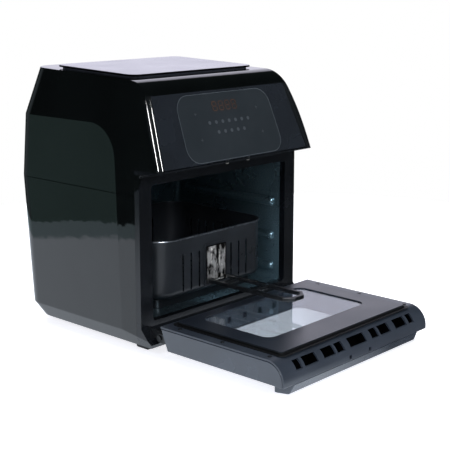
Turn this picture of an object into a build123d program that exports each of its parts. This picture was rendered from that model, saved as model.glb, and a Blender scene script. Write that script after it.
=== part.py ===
from build123d import *
import os
from math import atan2, cos, degrees, hypot, radians, sin, tan

# Countertop air fryer oven with a drop-down door, a slide-out basket and a control panel.
# Frame: X to the right seen from the front, the front faces -Y, Z up from the foot bottoms.
# The door lies open at rest. The origin is the middle of the footprint with the door open.

# ---------------------------------------------------------------- driving dimensions, mm
gap = 0.3                    # play between pieces of different bodies
seat_gap = 0.1               # play between a piece and the pocket it sits in
big = 500.0                  # reach of cuts that go right through

foot_height = 9.2
base_thick = 1.8
wall = 2.5                   # moulded shell wall

body_half = 163.3            # half width of the cabinet sides
foot_narrow = 8.0            # the sides draw in by this much at the very bottom
roof_narrow = 29.6           # and at the roof
tip_narrow = 5.7             # and at the lip of the control panel
face_narrow = 3.0            # and at the front face
low_half = body_half - foot_narrow
roof_half = body_half - roof_narrow
tip_half = body_half - tip_narrow
face_half = body_half - face_narrow
body_back = 247.0            # rear face at the seam
back_foot = body_back - 27.0
back_low = body_back - 13.4  # rear face at the lower crease
back_high = body_back - 11.0
rear_radius = 28.0
low_crease_z = 29.6
seam_z = 217.0
seam_gap = 1.0
roof_back_z = 372.0
roof_fall = 7.5              # the roof falls this much towards the front
roof_front_z = roof_back_z - roof_fall
crease_drop = 64.5
crease_z = roof_back_z - crease_drop     # where the side folds in towards the roof
roof_rise_run = 205.0        # length over which the roof climbs to its back height
roof_front_y = 27.0
crease_low_y = 22.4          # where the side folds in towards the front, low down
crease_high_y = 29.0         # and high up
crease_high_z = 238.0
side_corner = 46.0           # rounding where the two folds meet, at the flat of the side
inner_corner = 510.0         # and far inside, where the folds would reach the roof's edge

face_y = -13.0               # front plane of the front frame
frame_back_y = -5.0          # where the front frame ends and the side shells start
frame_corner = 22.0          # rounding of the front frame's upper corners
tip_y = -47.0                # lower lip of the control panel
tip_z = 249.5
soffit_rise = 3.5            # the overhang's underside climbs this much to its lip
soffit_round = 6.0
panel_lean = 21.5            # degrees the control panel leans back
roof_round = 40.0
lip_y = -29.0
lip_z = 16.0
lip_foot_y = -27.0
lip_top_z = 36.0

side_room = 25.3             # between the oven opening and the cabinet side
head_room = 20.5             # between the oven opening and the panel's lip
open_half = body_half - side_room
open_low_z = 43.0
open_high_z = tip_z - head_room
open_corner = 5.0
reveal = 2.5                 # wall of the opening's returning edge
reveal_back_y = -3.0

liner_wall = 1.0
rear_room = 33.0             # between the cavity and the rear face
liner_back_y = body_back - rear_room
liner_high_z = open_high_z + 2.0
liner_corner = 10.0
liner_flange = 9.0
rail_heights = (19.1, 67.3, 120.3)       # above the cavity floor
rail_levels = [open_low_z + height for height in rail_heights]
rail_radius = 7.0
rail_wall = 0.9
rail_front_y = 8.0
rail_back_y = liner_back_y - 18.0

fan_back = 109.0             # fan axis in front of the cavity's rear wall
fan_y = liner_back_y - fan_back
housing_radius = 102.0
housing_height = 40.0
ceiling_hole = housing_radius - 5.0
element_tube = 3.2
element_outer = housing_radius - 12.0
element_inner = element_outer - 20.0
element_lift = 12.0          # above the cavity ceiling
guard_wire = 1.2
guard_rings = [housing_radius - 2.0 - 20.0 * ring for ring in range(5)]
shaft_radius = 4.0
shaft_play = 0.05
fan_radius = element_inner - 6.0
fan_lift = 21.0
fan_height = 13.0
cooler_radius = 45.0
cooler_lift = 6.0
cooler_height = 12.0
motor_plate_lift = 24.0
motor_plate_thick = 2.0
motor_radius = 30.0
motor_height = 36.0
motor_wall = 4.0
rotor_radius = 23.0

hinge_y = -35.0
hinge_z = 26.0
pin_radius = 2.5
pin_play = 0.05
hinge_ear = 3.0
hinge_ear_x = open_half + 3.0            # inner face of the ear on the body

door_inset = 7.3             # the door is this much narrower than the cabinet on each side
door_gap = 1.5               # between the shut door and the front face
door_top_gap = 1.7           # between the shut door and the panel's lip
door_half = body_half - door_inset
door_face_z = face_y - door_gap - hinge_y + hinge_z      # inner face of the open door
door_end_y = hinge_y + hinge_z - tip_z + door_top_gap    # far end of the open door
door_root_y = -45.0          # hinge end of the inner face
door_skirt_y = -58.0         # hinge end of the outer face
door_skin_z = 14.8           # outer face of the open door
door_end_round = 27.0
door_wall = 2.5
door_seam = 0.6
plug_play = 2.0              # between the door's plug and the opening
plug_half = open_half - plug_play
plug_root_y = hinge_y + hinge_z - open_low_z - plug_play
plug_end_y = hinge_y + hinge_z - open_high_z + plug_play
plug_lift = 4.0              # how far the plug stands above the inner face
window_half = plug_half - 31.0
window_root_y = plug_root_y - 16.0
window_end_y = plug_end_y + 46.0
window_corner = 14.0
glass_thick = 3.0
glass_lap = 12.0             # how far each pane laps its frame
duct_wall = 1.5
vent_low_z = 30.5
vent_high_z = 41.5
vent_spans = ((-129.0, -117.0), (-111.5, -85.0), (-73.0, -49.5), (-45.5, -30.0), (-18.0, 18.0),
              (30.0, 45.5), (49.5, 73.0), (85.0, 111.5), (117.0, 129.0))
catch_x = 21.5
catch_hole = 5.0

pull_half = door_half - 13.0
pull_taper = 8.0             # the pull is this much shorter at its front edge, on each side
pull_front_y = door_end_y + 0.5
pull_back_y = door_end_y + 26.0
pull_toe_y = door_end_y + 7.0
pull_low_z = 1.0
pull_round = 3.5

basket_side_room = 24.0      # between the basket and the cavity side
basket_half = open_half - basket_side_room
basket_front_y = 1.0
basket_back_y = liner_back_y - 11.0
basket_low_z = open_low_z + 14.5
basket_height = 85.0
basket_high_z = basket_low_z + basket_height
basket_wall = 1.2
basket_corner = 33.0
basket_foot_round = 12.0
basket_rim = 2.4
slot_width = 3.2
slot_low_z = basket_low_z + 8.5
slot_high_z = basket_low_z + 61.5
slot_offsets = (33.3, 49.8, 66.0)
bracket_half = 20.0
bracket_low_z = basket_low_z + 10.5
bracket_high_z = basket_low_z + 65.0
rivet_x = bracket_half - 5.0
rivet_z = bracket_high_z - 5.0
bracket_thick = 1.2
bracket_frame = 3.5          # pressed border round the bracket

grip_z = basket_low_z + 15.5
grip_y = -4.6
grip_half = 21.5
grip_reach = 150.0
grip_bar = 6.5
grip_thick = 5.5
grip_pin = 1.6
grip_corner = 12.0

tray_half = open_half - 33.0
tray_front_y = 16.0
tray_back_y = liner_back_y - 14.0
tray_wall = 1.0
tray_flange = 5.0

panel_margin = 10.7          # from the panel to the cabinet's side at the lip
panel_taper = 0.13           # the panel and its rim narrow by this much per mm up the slope, on each side
screen_taper = 0.05
panel_half = tip_half - panel_margin
panel_low = 3.5              # distances up the slope of the control panel
panel_high = 103.0
panel_thick = 3.0
panel_round = 3.0
panel_play = 0.3
panel_ledge = 5.0
screen_half = panel_half - 49.4
screen_low = 4.8
screen_high = 99.3
screen_round = 23.0
screen_thick = 1.6

roof_fold = 5.7              # how far inside the roof's edge its flat top starts
fold_half = roof_half - roof_fold
plate_half = fold_half - 6.0
plate_front_y = 36.0
plate_back_y = back_high - 36.0
plate_thick = 2.5
plate_lift = 2.5
plate_corner = 16.0
plate_step = 4.0

os.makedirs("parts", exist_ok=True)


def save(piece, name):
    """Label a finished piece and write it out."""
    piece.part.label = name
    export_step(piece.part, f"parts/{name}.step")


# ---------------------------------------------------------------- the cabinet's outer form
lean = radians(panel_lean)
roof_slope = (roof_back_z - roof_front_z) / roof_rise_run
fold_in = (roof_back_z - crease_z) / (body_half - roof_half)
front_fold = (crease_high_y - tip_y) / (body_half - tip_half)
crease_tilt = (crease_high_y - crease_low_y) / (crease_high_z - low_crease_z)
base_z = foot_height + base_thick
far_front = -120.0
far_back = 320.0
far_top = 430.0


def roof_z(y):
    """Height of the roof's outer face at a given depth."""
    return roof_front_z + (y - roof_front_y) * roof_slope


def fold_z(half):
    """Height of the upper side fold at a given half width."""
    return crease_z + (body_half - half) * fold_in


def plan_form(inset):
    """Cabinet seen from above, with rounded rear corners, as one stack of sections."""
    stations = (
        (base_z, low_half, back_foot),
        (low_crease_z, body_half, back_low),
        (seam_z, body_half, body_back),
        (crease_z, body_half, back_high),
        (fold_z(fold_half), fold_half, back_high),
    )
    with BuildPart() as stack:
        for height, half, back in stations:
            with BuildSketch(Plane.XY.offset(height)) as section:
                with Locations((0, (back - inset + far_front) / 2)):
                    Rectangle(2 * (half - inset), back - inset - far_front)
                rear = section.vertices().group_by(Axis.Y)[-1]
                fillet(rear, rear_radius - inset)
        loft(ruled=True)
    return stack.part


def side_form(inset):
    """Cabinet seen from the side: roof, sloped panel, overhang, front face and lower lip."""
    slope_top_y = tip_y + (roof_z(0) - tip_z) * tan(lean)
    corner_y = tip_y + (roof_z(slope_top_y) - tip_z) * tan(lean)
    with BuildPart() as side:
        with BuildSketch(Plane.YZ.offset(-body_half)) as profile:
            with BuildLine():
                Polyline(
                    (lip_y, lip_z),
                    (lip_foot_y, base_z),
                    (far_back, base_z),
                    (far_back, roof_z(far_back)),
                    (corner_y, roof_z(corner_y)),
                    (tip_y, tip_z),
                    (face_y, tip_z - soffit_rise),
                    (face_y, lip_top_z),
                    close=True,
                )
            make_face()
            crown = profile.vertices().sort_by(Axis.Y)[-2]
            fillet(crown, roof_round)
            face_top = profile.vertices().filter_by_position(Axis.X, face_y - 0.01, face_y + 0.01)
            fillet(face_top.sort_by(Axis.Y)[-1], soffit_round)
            if inset:
                offset(amount=-inset, kind=Kind.INTERSECTION)
        extrude(amount=2 * body_half)
    return side.part


def cheek_section(half, inset, corner):
    """Outline of the side face where it has folded in to a given half width."""
    setback = (body_half - half) * front_fold
    top = fold_z(half)
    front_high = crease_high_y - setback
    with BuildSketch(Plane.YZ.offset(half - inset)) as outline:
        with BuildLine():
            Polyline(
                (far_back, -big),
                (far_back, top),
                (front_high + (top - crease_high_z) * crease_tilt, top),
                (front_high - (crease_high_z + big) * crease_tilt, -big),
                close=True,
            )
        make_face()
        nose = outline.vertices().sort_by(Axis.Y)[-2:].sort_by(Axis.X)[0]
        fillet(nose, corner)
    return outline.sketch


def cheek_form(inset):
    """Both side faces with their folds towards the roof and towards the front."""
    with BuildPart() as cheeks:
        with BuildSketch(Plane.YZ.offset(-fold_half)):
            Rectangle(4 * big, 4 * big)
        extrude(amount=2 * fold_half)
    outer = cheek_section(body_half, inset, side_corner)
    inner = cheek_section(fold_half, inset, inner_corner)
    right = loft([outer.face(), inner.face()], ruled=True)
    return cheeks.part + right + mirror(right, about=Plane.YZ)


def cabinet_form(inset=0.0):
    """The cabinet as one solid, shrunk by the wall thickness where an inner form is wanted."""
    return plan_form(inset) & side_form(inset) & cheek_form(inset)


def box_between(low, high, mode=Mode.ADD):
    """Box between two opposite corners, in the open part."""
    middle = tuple((a + b) / 2 for a, b in zip(low, high))
    with Locations(middle):
        return Box(*(b - a for a, b in zip(low, high)), mode=mode)


def post(x, y, low, high, radius, mode=Mode.ADD):
    """Upright cylinder between two heights, in the open part."""
    with Locations((x, y, (low + high) / 2)):
        return Cylinder(radius, high - low, mode=mode)


def tapered(half, low, high, taper, radius):
    """Rounded outline that narrows upwards from a half width at the bottom of its plane."""
    with BuildSketch() as outline:
        with BuildLine():
            Polyline(
                (taper * low - half, low),
                (half - taper * low, low),
                (half - taper * high, high),
                (taper * high - half, high),
                close=True,
            )
        make_face()
        fillet(outline.vertices(), radius)
    return outline.sketch


outer_form = cabinet_form()
inner_form = cabinet_form(wall)
tongue_form = cabinet_form(wall + 0.2)
core_form = cabinet_form(wall + 2.0)
skin_form = cabinet_form(1.2)

shell_front_y = frame_back_y + 0.2
overhang_z = tip_z + 2.0     # the front frame reaches this high behind the lip
slope = Plane(origin=(0, tip_y, tip_z), x_dir=(1, 0, 0), z_dir=(0, -cos(lean), sin(lean)))


# ---------------------------------------------------------------- rear fittings
def rear_y(z):
    """Depth of the rear face between the lower crease and the upper crease."""
    if z < seam_z:
        return back_low + (body_back - back_low) * (z - low_crease_z) / (seam_z - low_crease_z)
    return body_back + (back_high - body_back) * (z - seam_z) / (crease_z - seam_z)


def rear_plane(x, z):
    """Plane lying on the rear face and looking out of it."""
    tilt = (rear_y(z + 1) - rear_y(z - 1)) / 2
    return Plane(origin=(x, rear_y(z), z), x_dir=(-1, 0, 0), z_dir=(0, 1, -tilt))


gland_x = body_half - 58.3
gland_z = 68.0
gland_neck = 8.0
gland_flange = 11.0
gland_nut = 7.8
gland_reach = 17.0           # length of the clamping nut outside
cord_radius = 3.6
vent_z = 262.0
vent_width = 124.0
vent_height = 50.0
vent_bars = 13
gland_plane = rear_plane(gland_x, gland_z)
vent_plane = rear_plane(0, vent_z)

# ---------------------------------------------------------------- lower shell and base
seam_low = Pos(0, big / 2 + shell_front_y, seam_z - 4 - seam_gap / 2) * Box(big, big, 8)
seam_high = Pos(0, big / 2 + shell_front_y, seam_z + 3 - seam_gap / 2) * Box(big, big, 6)
tongue = ((inner_form - core_form) & seam_low) + ((tongue_form - core_form) & seam_high)
base_margin = 16.0
base_front_y = 12.0
base_rear_y = back_foot - 14.0

with BuildPart() as lower_shell:
    add(outer_form)
    add(inner_form, mode=Mode.SUBTRACT)
    box_between((-big, shell_front_y, seam_z - seam_gap / 2), (big, big, big), Mode.SUBTRACT)
    box_between((-big, -big, 0), (big, shell_front_y, big), Mode.SUBTRACT)
    box_between(
        (base_margin - low_half, base_front_y, 0),
        (low_half - base_margin, base_rear_y, base_z + wall + 1),
        Mode.SUBTRACT,
    )
    with Locations(gland_plane):
        Cylinder(gland_neck + seat_gap, 6 * wall, mode=Mode.SUBTRACT)
    add(tongue)
save(lower_shell, "lower_shell")

with BuildPart() as cord_gland:
    with Locations(gland_plane.offset(-wall / 2)):
        Cylinder(gland_neck, wall)
    with Locations(gland_plane.offset(1.5)):
        Cylinder(gland_flange, 3.0)
    with Locations(gland_plane.offset(-wall - 1.5)):
        Cylinder(gland_flange - 1.0, 3.0)
    with Locations(gland_plane.offset(3.0 + gland_reach / 2)):
        Cylinder(gland_nut, gland_reach)
    fillet(cord_gland.edges().filter_by(GeomType.CIRCLE).sort_by(Axis.Y)[-1], 3.0)
    with Locations(gland_plane):
        Cylinder(cord_radius, 4 * gland_reach, mode=Mode.SUBTRACT)
save(cord_gland, "cord_gland")

base_lap = 6.0
with BuildPart() as base_pan:
    with BuildSketch(Plane.XY.offset(foot_height)):
        with Locations((0, (base_rear_y + base_lap - 10) / 2)):
            RectangleRounded(
                2 * (low_half - base_margin + base_lap), base_rear_y + base_lap + 10, 8
            )
    extrude(amount=base_thick)
    with BuildSketch(Plane.XY.offset(foot_height)):
        with Locations((0, 105)):
            with GridLocations(0, 12, 1, 9):
                SlotOverall(90, 4)
    extrude(amount=base_thick, mode=Mode.SUBTRACT)
save(base_pan, "base_pan")

front_foot_x = low_half - 24.3
front_foot_y = 7.0
rear_foot_x = low_half - 55.3
rear_foot_y = back_foot - 26.0
foot_top = (24.0, 26.0)
foot_bottom = (20.0, 22.0)
with BuildPart() as rubber_feet:
    for foot_x, foot_y in ((front_foot_x, front_foot_y), (rear_foot_x, rear_foot_y)):
        for side in (-1, 1):
            with BuildSketch(Plane((side * foot_x, foot_y, 0))):
                Rectangle(*foot_bottom)
            with BuildSketch(Plane((side * foot_x, foot_y, foot_height))):
                Rectangle(*foot_top)
            loft()
save(rubber_feet, "rubber_feet")


# ---------------------------------------------------------------- front frame
def opening_box(margin, front, back, corner, mode):
    """The oven opening widened by a margin, cut from or added to the open part."""
    with BuildSketch(Plane.XZ.offset(-back)) as outline:
        with Locations((0, (open_low_z + open_high_z) / 2)):
            RectangleRounded(
                2 * (open_half + margin), open_high_z - open_low_z + 2 * margin, corner + margin
            )
    extrude(outline.sketch, amount=back - front, mode=mode)


web_low_z = tip_z - soffit_rise - 0.5 - frame_corner


def corner_webs(radius):
    """Space outside the front frame's rounded upper corners."""
    with BuildPart() as webs:
        with BuildSketch(Plane.XZ.offset(-frame_back_y - 0.7)):
            for side in (-1, 1):
                with Locations((side * (face_half - frame_corner + 30), web_low_z + 30)):
                    Rectangle(60, 60)
                with Locations((side * (face_half - frame_corner), web_low_z)):
                    Circle(radius, mode=Mode.SUBTRACT)
        extrude(amount=-frame_back_y - face_y)
        box_between((-big, -big, tip_z - soffit_rise), (big, big, big), Mode.SUBTRACT)
    return webs.part


catch_size = 3.6
catch_y = -41.0
catch_bite = 0.6             # how far the catch reaches into the shut door
catch_bottom_z = hinge_z + hinge_y - door_end_y - catch_bite
catch_play = 0.3
catch_travel = 1.0
catch_arm_low = tip_z + 2.1
catch_arm_thick = 1.2
catch_arm_back_y = -29.0
catch_room = skin_form & (
    Pos(catch_x, catch_y + 3, tip_z + 6) * Box(10, 18, 12)
    + Pos(-catch_x, catch_y + 3, tip_z + 6) * Box(10, 18, 12)
)

with BuildPart() as front_frame:
    add(outer_form)
    add(inner_form, mode=Mode.SUBTRACT)
    box_between((-big, frame_back_y, 0), (big, big, big), Mode.SUBTRACT)
    box_between((-big, -big, overhang_z), (big, big, big), Mode.SUBTRACT)
    opening_box(reveal, face_y, reveal_back_y, open_corner, Mode.ADD)
    opening_box(0, face_y - 1, reveal_back_y + 1, open_corner, Mode.SUBTRACT)
    add(corner_webs(frame_corner), mode=Mode.SUBTRACT)
    add(catch_room, mode=Mode.SUBTRACT)
    for side in (-1, 1):
        hole = catch_size / 2 + catch_play
        box_between(
            (side * catch_x - hole, catch_y - hole, open_high_z + 8),
            (side * catch_x + hole, catch_y + hole, overhang_z + 1),
            Mode.SUBTRACT,
        )
save(front_frame, "front_frame")

# ---------------------------------------------------------------- upper shell
ledge_low = panel_low + 4.5
ledge_high = panel_high + panel_ledge
ledge_length = ledge_high - ledge_low
ledge_place = slope.offset(-panel_thick - seat_gap - 1) * Pos(0, (ledge_low + ledge_high) / 2, 0)
ledge = ledge_place * Box(2 * body_half, ledge_length, 2)
ledge -= ledge_place * Pos(0, -2 * panel_ledge, 0) * Box(
    2 * (panel_half - panel_taper * panel_high - panel_ledge), ledge_length, 4
)
ledge = ledge & inner_form

corner_caps = (outer_form - inner_form) & corner_webs(frame_corner + gap)
with BuildPart() as upper_shell:
    add(outer_form)
    add(inner_form, mode=Mode.SUBTRACT)
    box_between((-big, -big, 0), (big, big, seam_z + seam_gap / 2), Mode.SUBTRACT)
    box_between(
        (-big, -big, 0), (big, shell_front_y, overhang_z + seat_gap), Mode.SUBTRACT
    )
    with BuildSketch(slope.offset(3)):
        add(
            tapered(
                panel_half + panel_play, panel_low - 20, panel_high + panel_play, panel_taper, panel_round
            )
        )
    extrude(amount=-panel_thick - 4, mode=Mode.SUBTRACT)
    add(ledge)
    add(corner_caps)
    with Locations(vent_plane):
        Box(vent_width, vent_height, 6 * wall, mode=Mode.SUBTRACT)
save(upper_shell, "upper_shell")

vent_flange = 4.0
with BuildPart() as rear_vent:
    with Locations(vent_plane.offset(-wall / 2)):
        Box(vent_width - 2 * seat_gap, vent_height - 2 * seat_gap, wall)
    with Locations(vent_plane.offset(-wall - 0.75)):
        Box(vent_width + 2 * vent_flange, vent_height + 2 * vent_flange, 1.5)
    with BuildSketch(vent_plane.offset(1)):
        with GridLocations((vent_width - 6) / vent_bars, 0, vent_bars, 1):
            SlotOverall(vent_height - 8, 5, rotation=90)
    extrude(amount=-3 * wall, mode=Mode.SUBTRACT)
save(rear_vent, "rear_vent")

roof_plane = Plane(
    origin=(0, plate_front_y, roof_z(plate_front_y)), x_dir=(1, 0, 0), z_dir=(0, -roof_slope, 1)
)
plate_depth = hypot(plate_back_y - plate_front_y, roof_z(plate_back_y) - roof_z(plate_front_y))
with BuildPart() as roof_plate:
    with BuildSketch(roof_plane):
        with Locations((0, plate_depth / 2)):
            RectangleRounded(
                2 * (plate_half - plate_step), plate_depth - 2 * plate_step, plate_corner - 2
            )
    extrude(amount=plate_lift)
    with BuildSketch(roof_plane.offset(plate_lift)):
        with Locations((0, plate_depth / 2)):
            RectangleRounded(2 * plate_half, plate_depth, plate_corner)
    extrude(amount=plate_thick)
    fillet(roof_plate.faces().sort_by(Axis.Z)[-1].edges(), 1.0)
save(roof_plate, "roof_plate")

# ---------------------------------------------------------------- control panel
screen_lap = 9.0
board_depth = 9.0
board_thick = 1.6
board_half = screen_half - 0.5
board_low = 26.0
board_high = 88.0
board_boss = 3.0
module_half = 32.0
module_low = 70.0
module_high = 89.0

with BuildPart() as control_panel:
    with BuildSketch(slope):
        add(tapered(panel_half, panel_low, panel_high, panel_taper, panel_round))
    extrude(amount=-panel_thick)
    with BuildSketch(slope):
        add(
            tapered(
                screen_half + seat_gap, screen_low - seat_gap, screen_high + seat_gap, screen_taper,
                screen_round,
            )
        )
    extrude(amount=-screen_thick, mode=Mode.SUBTRACT)
    with BuildSketch(slope):
        add(
            tapered(
                screen_half - screen_lap, screen_low + screen_lap, screen_high - screen_lap, screen_taper,
                screen_round - 9,
            )
        )
    extrude(amount=-panel_thick, mode=Mode.SUBTRACT)
    with BuildSketch(slope.offset(-board_depth)):
        with Locations((0, (board_low + board_high) / 2)):
            with GridLocations(2 * (board_half - 4), board_high - board_low - 12, 2, 2):
                Circle(board_boss)
    extrude(amount=board_depth - panel_thick)
    add(catch_room, mode=Mode.SUBTRACT)
save(control_panel, "control_panel")

with BuildPart() as touch_screen:
    with BuildSketch(slope.offset(-screen_thick)):
        add(tapered(screen_half, screen_low, screen_high, screen_taper, screen_round))
    extrude(amount=screen_thick)
save(touch_screen, "touch_screen")

with BuildPart() as display_board:
    with BuildSketch(slope.offset(-board_depth)):
        with Locations((0, (board_low + board_high) / 2)):
            Rectangle(2 * board_half, board_high - board_low)
    extrude(amount=-board_thick)
save(display_board, "display_board")

with BuildPart() as display_module:
    with BuildSketch(slope.offset(-board_depth)):
        with Locations((0, (module_low + module_high) / 2)):
            Rectangle(2 * module_half, module_high - module_low)
    extrude(amount=board_depth - screen_thick - 0.4)
save(display_module, "display_module")

# ---------------------------------------------------------------- door catch and interlock
for side, label in ((-1, "door_catch"), (1, "interlock_plunger")):
    with BuildPart() as catch_pin:
        box_between(
            (side * catch_x - catch_size / 2, catch_y - catch_size / 2, catch_bottom_z),
            (side * catch_x + catch_size / 2, catch_y + catch_size / 2, catch_arm_low),
        )
        nose = catch_pin.edges().group_by(Axis.Z)[0].filter_by(Axis.X)
        chamfer(nose, 0.8)
        box_between(
            (side * catch_x - 2.6, catch_y - 2.6, catch_arm_low),
            (side * catch_x + 2.6, catch_arm_back_y, catch_arm_low + catch_arm_thick),
        )
    save(catch_pin, label)

keeper_low = catch_arm_low + catch_arm_thick + catch_travel + gap
with BuildPart() as interlock_switch:
    box_between((catch_x - 10, -34, keeper_low), (catch_x + 10, -22, keeper_low + 9))
    for side in (-1, 1):
        box_between(
            (catch_x + side * 8 - 1.5, -27, overhang_z - 6),
            (catch_x + side * 8 + 1.5, -22, keeper_low),
        )
    add(inner_form, mode=Mode.INTERSECT)
save(interlock_switch, "interlock_switch")

with BuildPart() as catch_keeper:
    box_between((-catch_x - 7, -34, keeper_low), (-catch_x + 7, -24, keeper_low + 3))
    for side in (-1, 1):
        box_between(
            (-catch_x + side * 5.5 - 1.5, -34, overhang_z - 6),
            (-catch_x + side * 5.5 + 1.5, -24, keeper_low),
        )
    add(inner_form, mode=Mode.INTERSECT)
save(catch_keeper, "catch_keeper")

# ---------------------------------------------------------------- oven cavity
liner_half = open_half + liner_wall


def liner_box(inset, front_y):
    """The cavity as a closed box with rounded edges."""
    with BuildPart() as body:
        box_between(
            (inset - liner_half, front_y, open_low_z - liner_wall + inset),
            (liner_half - inset, liner_back_y + liner_wall - inset, liner_high_z + liner_wall - inset),
        )
        fillet(body.edges().filter_by(Axis.Y), liner_corner - inset)
        fillet(body.faces().sort_by(Axis.Y)[-1].edges(), liner_corner - inset - 1)
    return body.part


def rail_rod(radius, inset):
    """One shelf rail as a rod with rounded ends, lying along Y at the origin's height."""
    length = rail_back_y - rail_front_y - 2 * inset
    with BuildPart() as rod:
        Cylinder(radius, length, rotation=(90, 0, 0))
        fillet(rod.edges().filter_by(GeomType.CIRCLE), radius - 1.5)
    return rod.part


rail_outer = rail_rod(rail_radius, 0)
rail_inner = rail_rod(rail_radius - rail_wall, rail_wall)
rail_places = [
    Location((side * (open_half + rail_wall), (rail_front_y + rail_back_y) / 2, rail_z))
    for rail_z in rail_levels
    for side in (-1, 1)
]
side_space = Pos(0, liner_back_y / 2, (open_low_z + liner_high_z) / 2) * Box(
    2 * liner_half, liner_back_y, liner_high_z - open_low_z
)
with BuildPart() as cavity_liner:
    add(liner_box(0, reveal_back_y))
    add(liner_box(liner_wall, reveal_back_y - 1), mode=Mode.SUBTRACT)
    for place in rail_places:
        add((place * rail_outer) & side_space)
        add(place * rail_inner, mode=Mode.SUBTRACT)
    with BuildSketch(Plane.XZ.offset(-reveal_back_y - liner_wall)):
        with Locations((0, (open_low_z + open_high_z) / 2)):
            Rectangle(2 * (open_half + liner_flange), open_high_z - open_low_z + 2 * liner_flange)
            RectangleRounded(
                2 * open_half, open_high_z - open_low_z, open_corner, mode=Mode.SUBTRACT
            )
    extrude(amount=liner_wall)
    post(0, fan_y, liner_high_z - 4, liner_high_z + 4, ceiling_hole, Mode.SUBTRACT)
save(cavity_liner, "cavity_liner")

ceiling_top = liner_high_z + liner_wall
housing_top = ceiling_top + housing_height
element_z = ceiling_top + element_lift
fan_low_z = ceiling_top + fan_lift
with BuildPart() as fan_housing:
    post(0, fan_y, ceiling_top, housing_top, housing_radius)
    post(0, fan_y, ceiling_top, ceiling_top + 1, housing_radius + 4)
    post(0, fan_y, ceiling_top, housing_top - 1, housing_radius - 1, Mode.SUBTRACT)
    post(0, fan_y, housing_top - 2, housing_top + 1, 7.0, Mode.SUBTRACT)
    for radius in (element_outer, element_inner):
        post(radius * cos(radians(8)), fan_y + radius * sin(radians(8)) * (1 if radius > 80 else -1),
             housing_top - 2, housing_top + 1, element_tube + 0.2, Mode.SUBTRACT)
save(fan_housing, "fan_housing")


turn_radius = (element_outer - element_inner) / 2
turn_centre = (element_outer + element_inner) / 2
lead_top = housing_top + 8.0
with BuildPart() as heating_element:
    for radius, start in ((element_outer, 8), (element_inner, -8)):
        begin = radians(start)
        end = radians(330)
        arc_mid = (begin + end) / 2
        with BuildLine() as path:
            ThreePointArc(
                (radius * cos(begin), fan_y + radius * sin(begin), element_z),
                (radius * cos(arc_mid), fan_y + radius * sin(arc_mid), element_z),
                (radius * cos(end), fan_y + radius * sin(end), element_z),
            )
        with BuildSketch(Plane(origin=path.line @ 0, z_dir=path.line % 0)):
            Circle(element_tube)
        sweep(path=path.line)
        with Locations((radius * cos(begin), fan_y + radius * sin(begin), element_z)):
            Sphere(element_tube)
        post(radius * cos(begin), fan_y + radius * sin(begin), element_z, lead_top, element_tube)
    bend = radians(330)
    with BuildLine() as bend_path:
        along = Vector(-sin(bend), cos(bend), 0)
        middle = Vector(turn_centre * cos(bend), fan_y + turn_centre * sin(bend), element_z)
        outward = Vector(cos(bend), sin(bend), 0)
        ThreePointArc(
            middle + outward * turn_radius, middle + along * turn_radius, middle - outward * turn_radius
        )
    with BuildSketch(Plane(origin=bend_path.line @ 0, z_dir=bend_path.line % 0)):
        Circle(element_tube)
    sweep(path=bend_path.line)
save(heating_element, "heating_element")

clip_angles = (100, 190, 280)
with BuildPart() as element_clips:
    for angle in clip_angles:
        x = element_outer * cos(radians(angle))
        y = fan_y + element_outer * sin(radians(angle))
        post(x, y, element_z + element_tube, housing_top - 1, 2.0)
save(element_clips, "element_clips")

guard_z = liner_high_z - guard_wire - seat_gap
with BuildPart() as heater_guard:
    with BuildSketch(Plane.XY.offset(guard_z - guard_wire)):
        with Locations((0, fan_y)):
            for radius in guard_rings:
                Circle(radius + guard_wire)
                Circle(radius - guard_wire, mode=Mode.SUBTRACT)
            Rectangle(2 * guard_rings[0], 2 * guard_wire)
            Rectangle(2 * guard_wire, 2 * guard_rings[0])
    extrude(amount=2 * guard_wire)
save(heater_guard, "heater_guard")

# ---------------------------------------------------------------- fan and motor on one shaft
shaft_low_z = fan_low_z - 4.0
cooler_low_z = housing_top + cooler_lift
plate_low_z = housing_top + motor_plate_lift
motor_low_z = plate_low_z + motor_plate_thick
motor_high_z = motor_low_z + motor_height
shaft_high_z = motor_high_z + 3.0
blade_count = 8
blade_thick = 1.2
hub_radius = shaft_radius + 4.0


def bladed_wheel(radius, low_z, height):
    """Disc with upright radial blades about the fan axis, bored for the shaft."""
    with BuildPart() as wheel:
        post(0, fan_y, low_z, low_z + 1.5, radius)
        post(0, fan_y, low_z, low_z + height, hub_radius)
        with Locations((0, fan_y, low_z + height / 2)):
            with PolarLocations((radius + hub_radius) / 2 - 1.5, blade_count):
                Box(radius - hub_radius - 1, blade_thick, height)
        post(0, fan_y, low_z - 1, low_z + height + 1, shaft_radius + 0.02, Mode.SUBTRACT)
    return wheel.part


with BuildPart() as convection_fan:
    add(bladed_wheel(fan_radius, fan_low_z, fan_height))
save(convection_fan, "convection_fan")

with BuildPart() as cooling_fan:
    add(bladed_wheel(cooler_radius, cooler_low_z, cooler_height))
save(cooling_fan, "cooling_fan")

with BuildPart() as motor_shaft:
    post(0, fan_y, shaft_low_z, shaft_high_z, shaft_radius)
save(motor_shaft, "motor_shaft")

with BuildPart() as fan_nut:
    with BuildSketch(Plane.XY.offset(shaft_low_z)):
        with Locations((0, fan_y)):
            RegularPolygon(7.0, 6)
            Circle(shaft_radius + 0.02, mode=Mode.SUBTRACT)
    extrude(amount=fan_low_z - shaft_low_z)
save(fan_nut, "fan_nut")

with BuildPart() as motor_housing:
    post(0, fan_y, motor_low_z, motor_high_z, motor_radius)
    post(0, fan_y, motor_low_z + motor_wall, motor_high_z - motor_wall, motor_radius - motor_wall,
         Mode.SUBTRACT)
    post(0, fan_y, motor_low_z - 1, motor_high_z + 1, shaft_radius + shaft_play, Mode.SUBTRACT)
save(motor_housing, "motor_housing")

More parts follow.
